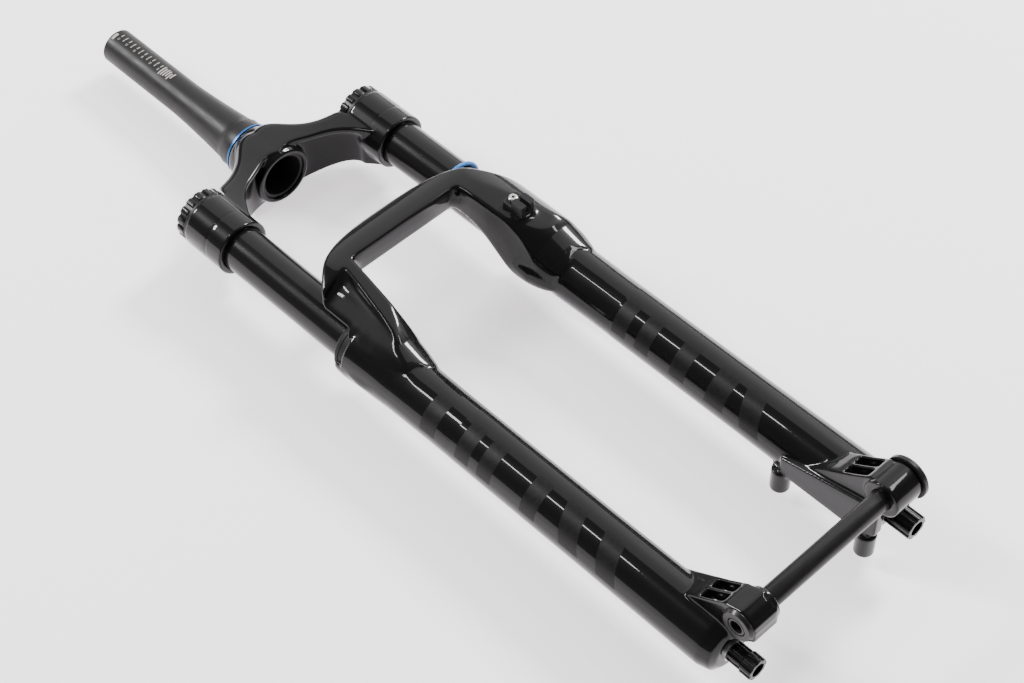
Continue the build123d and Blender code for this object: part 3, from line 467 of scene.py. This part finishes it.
# ---------------------------------------------------------------- markings, generic: a scale and plain bars
def curved_patch(x, z, radius_at, corners, thick=0.05, across=14, along=10):
    """A thin sheet bent round an axis along Y. corners: (degrees from the front, y) at the four corners."""
    verts = []
    for lift in (-thick, thick):
        for i in range(along + 1):
            for j in range(across + 1):
                u, v = j / across, i / along
                a = [(1 - u) * corners[0][k] + u * corners[1][k] for k in (0, 1)]
                b = [(1 - u) * corners[3][k] + u * corners[2][k] for k in (0, 1)]
                t, y = (math.radians((1 - v) * a[0] + v * b[0]), (1 - v) * a[1] + v * b[1])
                r = radius_at(y) + lift
                verts.append((x + r * math.sin(t), y, z + r * math.cos(t)))
    row, sheet = across + 1, (across + 1) * (along + 1)
    faces = []
    for i in range(along):
        for j in range(across):
            a, b, c, d = i * row + j, i * row + j + 1, (i + 1) * row + j + 1, (i + 1) * row + j
            faces += [(a, d, c, b), (sheet + a, sheet + b, sheet + c, sheet + d)]
    rim = (list(range(row)) + [i * row + across for i in range(1, along + 1)]
           + [along * row + j for j in range(across - 1, -1, -1)]
           + [i * row for i in range(along - 1, 0, -1)])
    for a, b in zip(rim, rim[1:] + rim[:1]):
        faces.append((a, b, sheet + b, sheet + a))
    # The sheet is right way out when corners run clockwise seen from outside.
    verts = np.array(verts)
    p, q, r = (verts[k] for k in faces[1][:3])
    if np.dot(np.cross(q - p, r - p), p - np.array((x, p[1], z))) < 0:
        faces = [tuple(reversed(f)) for f in faces]
    return verts, faces


def joined(parts):
    verts, faces, base = [], [], 0
    for v, f in parts:
        verts.append(np.asarray(v))
        faces += [tuple(base + k for k in face) for face in f]
        base += len(v)
    return np.concatenate(verts), faces


def numeral(text, height, degrees, y):
    """A number wrapped on the steerer, read from the left of the fork."""
    curve = bpy.data.curves.new("numeral", "FONT")
    curve.body = text
    curve.size = height * 1.4
    curve.align_x = "CENTER"
    curve.align_y = "CENTER"
    curve.extrude = 0.06
    curve.resolution_u = 3
    holder = bpy.data.objects.new("numeral", curve)
    bpy.context.scene.collection.objects.link(holder)
    flat = bpy.data.meshes.new_from_object(holder.evaluated_get(bpy.context.evaluated_depsgraph_get()))
    verts = []
    for p in flat.vertices:
        t = math.radians(degrees) - p.co.x / STEERER_R
        r = STEERER_R + 0.02 + p.co.z
        verts.append((r * math.sin(t), y - p.co.y, r * math.cos(t)))
    faces = [tuple(f.vertices) for f in flat.polygons]
    bpy.data.objects.remove(holder)
    return verts, faces


def steerer_bar(start, end, top, tall, across=8):
    """A bar across the steerer, from start to end in degrees from the front."""
    corners = ((start, top), (end, top), (end, top - tall), (start, top - tall))
    return curved_patch(0, 0, lambda y: STEERER_R, corners, across=across, along=1)


# Ticks of a cutting scale with every other one numbered, a bar above them and six short dashes below.
marks = []
for i in range(11):
    y = 153.5 - 4.9 * i
    marks.append(steerer_bar(0, 13, y, 0.8, across=5))
    if i % 2 == 0:
        marks.append(numeral(str(15 + 5 * i), 1.9, -10, y - 0.4))
    else:
        marks.append(steerer_bar(-10, -2, y, 0.8, across=4))
marks.append(steerer_bar(-24, 2, 159, 2.5))
for i, (a, b) in enumerate(((-22, 16), (-20, 12), (-18, 15), (-14, 14), (-20, 8), (-10, 15))):
    marks.append(steerer_bar(a, b, 101.5 - 2.3 * i, 1.2))
verts, faces = joined(marks)
piece("steerer_scale", verts, faces, "steerer_marking", "upper_assembly")


def leg_radius(y):
    return float(np.interp(-y, LEG_DEPTHS, LEG_RADII))


for s, side, bars in ((-1, "right", ((-300, 14), (-334, 13), (-355, 13), (-396, 14), (-428, 17), (-462, 17))),
                      (1, "left", ((-330, 13), (-352, 13), (-385, 14), (-418, 17), (-446, 17)))):
    sheets = []
    for y, wide in bars:
        tilt = 5 if y < -420 else 0
        corners = ((-86, y - tilt), (-3, y + tilt), (-3, y + tilt - wide), (-86, y - tilt - wide))
        sheets.append(curved_patch(s * LEG_X, LEG_Z, leg_radius, corners))
    verts, faces = joined(sheets)
    piece(f"leg_bars_{side}", verts, faces, "leg_decal", "lower_assembly")


# ---------------------------------------------------------------- repeated lobes by geometry nodes
def lobes_group():
    """Copies one lobe Count times round the local Z axis and joins the ring to the base."""
    g = bpy.data.node_groups.new("ring_of_lobes", "GeometryNodeTree")
    sockets = (("Base", "NodeSocketGeometry"), ("Lobe", "NodeSocketObject"), ("Count", "NodeSocketInt"),
               ("Material", "NodeSocketMaterial"))
    for name, kind in sockets:
        g.interface.new_socket(name, in_out="INPUT", socket_type=kind)
    g.interface.new_socket("Ring", in_out="OUTPUT", socket_type="NodeSocketGeometry")
    source = add(g, "NodeGroupInput")
    points = add(g, "GeometryNodePoints", Count=source.outputs["Count"])
    index = add(g, "GeometryNodeInputIndex")
    turn = add(g, "ShaderNodeMath", {"operation": "DIVIDE"}, i0=index.outputs[0], i1=source.outputs["Count"])
    angle = add(g, "ShaderNodeMath", {"operation": "MULTIPLY"}, i0=turn.outputs[0], i1=2 * math.pi)
    euler = add(g, "ShaderNodeCombineXYZ", Z=angle.outputs[0])
    lobe = add(g, "GeometryNodeObjectInfo", Object=source.outputs["Lobe"])
    ring = add(g, "GeometryNodeInstanceOnPoints", Points=points.outputs[0], Instance=lobe.outputs["Geometry"],
               Rotation=euler.outputs[0])
    both = add(g, "GeometryNodeJoinGeometry", Geometry=ring.outputs[0])
    g.links.new(source.outputs["Base"], both.inputs[0])
    real = add(g, "GeometryNodeRealizeInstances", Geometry=both.outputs[0])
    painted = add(g, "GeometryNodeSetMaterial", Geometry=real.outputs[0], Material=source.outputs["Material"])
    add(g, "NodeGroupOutput", Ring=painted.outputs[0])
    return g


LOBES = lobes_group()


def local_object(name, verts, faces):
    mesh = bpy.data.meshes.new(name)
    mesh.from_pydata((np.asarray(verts) * MM).tolist(), [], [list(f) for f in faces])
    obj = bpy.data.objects.new(name, mesh)
    bpy.context.scene.collection.objects.link(obj)
    return obj


def lobe_block(inner, outer, half_angle, z0, z1, soft):
    """A rounded bump from radius inner to outer, spanning an angle either side of +X."""
    verts = []
    faces = []
    steps = 10
    levels = [(z0, 1.0), (z0 + soft, 0.0), (z1 - soft, 0.0), (z1, 1.0)]
    for z, pull in levels:
        for i in range(steps + 1):
            u = -1 + 2 * i / steps
            r = inner + (outer - soft * 0.7 * pull - inner) * math.sqrt(max(0.0, 1 - u ** 4))
            a = u * half_angle
            verts.append((r * math.cos(a), r * math.sin(a), z))
        verts.append(((inner - 1.5) * math.cos(half_angle), (inner - 1.5) * math.sin(half_angle), z))
        verts.append(((inner - 1.5) * math.cos(half_angle), -(inner - 1.5) * math.sin(half_angle), z))
    row = steps + 3
    for k in range(3):
        for i in range(row):
            j = (i + 1) % row
            faces.append((k * row + i, k * row + j, (k + 1) * row + j, (k + 1) * row + i))
    faces.append(tuple(reversed(range(row))))
    faces.append(tuple(3 * row + i for i in range(row)))
    return verts, faces


def lobed(name, base_profile, lobe, count, place, slot, body, stands_for):
    """A turned core with lobes round it, laid with its local Z along the row's -Y at place."""
    verts, faces = turned(base_profile, (0, 0, 0), segments=96)
    core = local_object(name + "_core", [(x, -z, y) for x, y, z in verts], faces)
    bump = local_object(name + "_bump", *lobe_block(*lobe))
    mod = core.modifiers.new("lobes", "NODES")
    mod.node_group = LOBES
    sockets = [i for i in LOBES.interface.items_tree if i.item_type == "SOCKET"]
    ids = {i.name: i.identifier for i in sockets if i.in_out == "INPUT"}
    mod[ids["Lobe"]] = bump
    mod[ids["Count"]] = count
    mod[ids["Material"]] = MATERIALS[slot]
    graph = bpy.context.evaluated_depsgraph_get()
    done = bpy.data.meshes.new_from_object(core.evaluated_get(graph))
    co = np.array([v.co for v in done.vertices]) / MM
    out = np.stack([place[0] + co[:, 0], place[1] - co[:, 2], place[2] + co[:, 1]], 1)
    polys = [tuple(p.vertices) for p in done.polygons]
    bpy.data.objects.remove(core)
    bpy.data.objects.remove(bump)
    piece(name, out, polys, slot, body, stands_for, angle=30)


# Cores are (radius, depth) pairs, and lobes (inner, outer, half angle, start, end, edge).
AIR_CAP = [(0.0, 0.0), (18.0, 0.0), (19.6, 0.5), (19.6, 8.4), (17.0, 8.4), (17.0, 2.2), (0.0, 2.2)]
DIAL = [(8.0, 0.0), (18.0, 0.0), (19.6, 0.5), (19.6, 8.4), (17.0, 8.4), (17.0, 5.8), (4.0, 5.8), (4.0, 3.5),
        (8.0, 3.5)]
SCALLOP = (19.3, 21.4, math.radians(8.3), 0.2, 8.4, 1.0)
KNOB = [(2.5, 0.0), (6.8, 0.0), (7.1, 0.4), (7.1, 5.4), (3.7, 5.4), (3.7, 17.5), (0.0, 17.5), (0.0, 4.0),
        (2.5, 4.0)]
KNOB_FLUTE = (6.9, 7.7, math.radians(11), 0.1, 5.4, 0.4)
CAPS = (("left", "air_valve_cap", "air_cap", AIR_CAP), ("right", "compression_dial", "high_speed_dial", DIAL))
for side, node, body, core in CAPS:
    lobed(node + "_scalloped", core, SCALLOP, 16, (LEG[side][0], -38.2, LEG_Z), "cap_black_anodised", body,
          [node])
lobed("low_speed_knob_fluted", KNOB, KNOB_FLUTE, 12, (-LEG_X, -36.0, LEG_Z), "cap_black_anodised",
      "low_speed_adjuster", ["low_speed_knob"])

# Each foot fitting: its node, body, side and radius over the flutes. The nuts sit on studs of one size.
STUD_R = 5.02
FEET = (("air_foot_nut", "lower_assembly", 1, 9.2), ("damper_foot_nut", "lower_assembly", -1, 7.6),
        ("rebound_knob", "rebound_adjuster", -1, 8.4))
for node, body, s, outer in FEET:
    foot_lo, foot_hi = box_mm(node)
    tall = foot_hi[1] - foot_lo[1]
    root = outer - 0.9
    if node == "damper_foot_nut":
        core = [(STUD_R, 0.0), (root, 0.0), (root, tall), (STUD_R, tall)]
    elif node == "rebound_knob":
        core = [(5.4, 0.0), (root, 0.0), (root, tall - 0.5), (root - 0.5, tall), (5.3, tall),
                (5.3, tall - 6.4), (0.0, tall - 6.4), (0.0, 2.2), (5.4, 1.2)]
    else:
        core = [(STUD_R, 0.0), (root, 0.0), (root, tall - 0.5), (root - 0.5, tall), (5.6, tall),
                (5.6, tall - 6.4), (0.0, tall - 6.4), (0.0, 12.0), (STUD_R, 12.0)]
    lobed(node + "_fluted", core, (root - 0.2, outer, math.radians(14), 0.05, tall - 0.1, 0.5), 9,
          (s * LEG_X, foot_hi[1], LEG_Z), "cap_black_anodised", body, [node])

# ---------------------------------------------------------------- axle and its insert
AXLE_LINE = (0, AXLE[1], AXLE[2])
axle_profile = [(4.8, -83), (6.2, -83), (7.0, -82), (7.0, -66), (7.5, -65), (7.5, 80.3), (16.0, 80.3),
                (16.4, 80.7), (16.4, 83.2), (15.9, 83.8), (15.4, 84.4), (10.5, 84.5), (10.0, 85.2),
                (8.5, 86.2), (3.3, 86.2), (3.3, 76.0), (0.0, 76.0), (0.0, 67.0), (4.8, 66.0)]
verts, faces = turned(axle_profile, AXLE_LINE, axis="x")
piece("axle_and_head", verts, faces, "axle_black_anodised", "axle", ["thru_axle"])
insert_profile = [(7.08, -67), (9.7, -67), (9.7, -80.1), (12.3, -80.1), (12.5, -80.6), (11.0, -83),
                  (7.08, -83)]
verts, faces = turned(insert_profile, AXLE_LINE, axis="x")
piece("axle_insert", verts, faces, "axle_black_anodised", "lower_assembly", ["axle_thread_insert"])

# ---------------------------------------------------------------- parts kept as the CAD made them
for node, obj in frame["nodes"].items():
    if obj.hide_render:
        continue
    obj.data.materials.clear()
    obj.data.materials.append(MATERIALS[SLOT_OF[node]])

# ---------------------------------------------------------------- floor, light and camera
# White laminate table: faint mottling, nearly matt. It also glows, because the view transform darkens whites.
table = finish("white_table_laminate", "#e9e6e6", tint=0.01, rough=0.55, spread=0.05, grain=60)
table_shader = table.node_tree.nodes["Principled BSDF"]
table_shader.inputs["Emission Color"].default_value = linear("#efe9ee")
table_shader.inputs["Emission Strength"].default_value = 1.3
TABLE_HALF = 9000
TABLE_CORNERS = ((-TABLE_HALF, -TABLE_HALF), (TABLE_HALF, -TABLE_HALF), (TABLE_HALF, TABLE_HALF),
                 (-TABLE_HALF, TABLE_HALF))
floor_z = min(LOWERS_LO[2], CROWN_LO[2]) - 0.4
mesh = bpy.data.meshes.new("table")
mesh.from_pydata([(x * MM, y * MM, floor_z * MM) for x, y in TABLE_CORNERS], [], [(0, 1, 2, 3)])
floor = bpy.data.objects.new("table", mesh)
bpy.context.scene.collection.objects.link(floor)
mesh.materials.append(table)

# The lights are placed in metres round the fork's middle.
MIDDLE = np.array([0, -0.25, 0.02])
STEERER_WAY = np.array([0.0, 1.0, 0.0])


def softbox(name, direction, distance, width, length, radiance):
    """A rectangular light facing the fork; its length runs as near as it can along the steerer."""
    data = bpy.data.lights.new(name, "AREA")
    data.shape = "RECTANGLE"
    data.size = width
    data.size_y = length
    data.energy = radiance * width * length * math.pi
    obj = bpy.data.objects.new(name, data)
    bpy.context.scene.collection.objects.link(obj)
    d = np.array(direction, float)
    d /= np.linalg.norm(d)
    place = MIDDLE + d * distance
    up = STEERER_WAY - np.dot(STEERER_WAY, d) * d
    up /= np.linalg.norm(up)
    side = np.cross(up, d)
    obj.matrix_world = Matrix(((side[0], up[0], d[0], place[0]), (side[1], up[1], d[1], place[1]),
                               (side[2], up[2], d[2], place[2]), (0, 0, 0, 1)))


softbox("ceiling_panel", (0.62, 0.42, 0.66), 3.2, 4.2, 4.2, 1.5)
softbox("tube_left", (-0.39, 0.40, 0.83), 2.6, 0.13, 0.62, 55.0)
softbox("tube_front", (0.50, -0.30, 0.80), 2.8, 0.14, 0.9, 22.0)
softbox("key_right", (0.78, 0.02, 0.62), 3.2, 0.7, 0.7, 110.0)
softbox("key_left", (-0.45, 0.78, 0.62), 3.0, 0.6, 0.6, 90.0)
world = bpy.data.worlds.new("room")
bpy.context.scene.world = world
world.use_nodes = True
world.node_tree.nodes["Background"].inputs["Color"].default_value = linear("#e8e6ea")
world.node_tree.nodes["Background"].inputs["Strength"].default_value = 0.3

camera_data = bpy.data.cameras.new("camera")
camera_data.lens = 80.71
camera_data.sensor_width = 36
camera_data.clip_start = 0.05
camera = bpy.data.objects.new("camera", camera_data)
bpy.context.scene.collection.objects.link(camera)
right = (0.716081, -0.698009, -0.003539)
down = (-0.535175, -0.545762, -0.644773)
ahead = (0.448126, 0.463603, -0.764366)
spot = (-0.7197226, -1.0330564, 1.2428705)
camera.matrix_world = Matrix([(right[i], -down[i], -ahead[i], spot[i]) for i in range(3)] + [(0, 0, 0, 1)])
bpy.context.scene.camera = camera
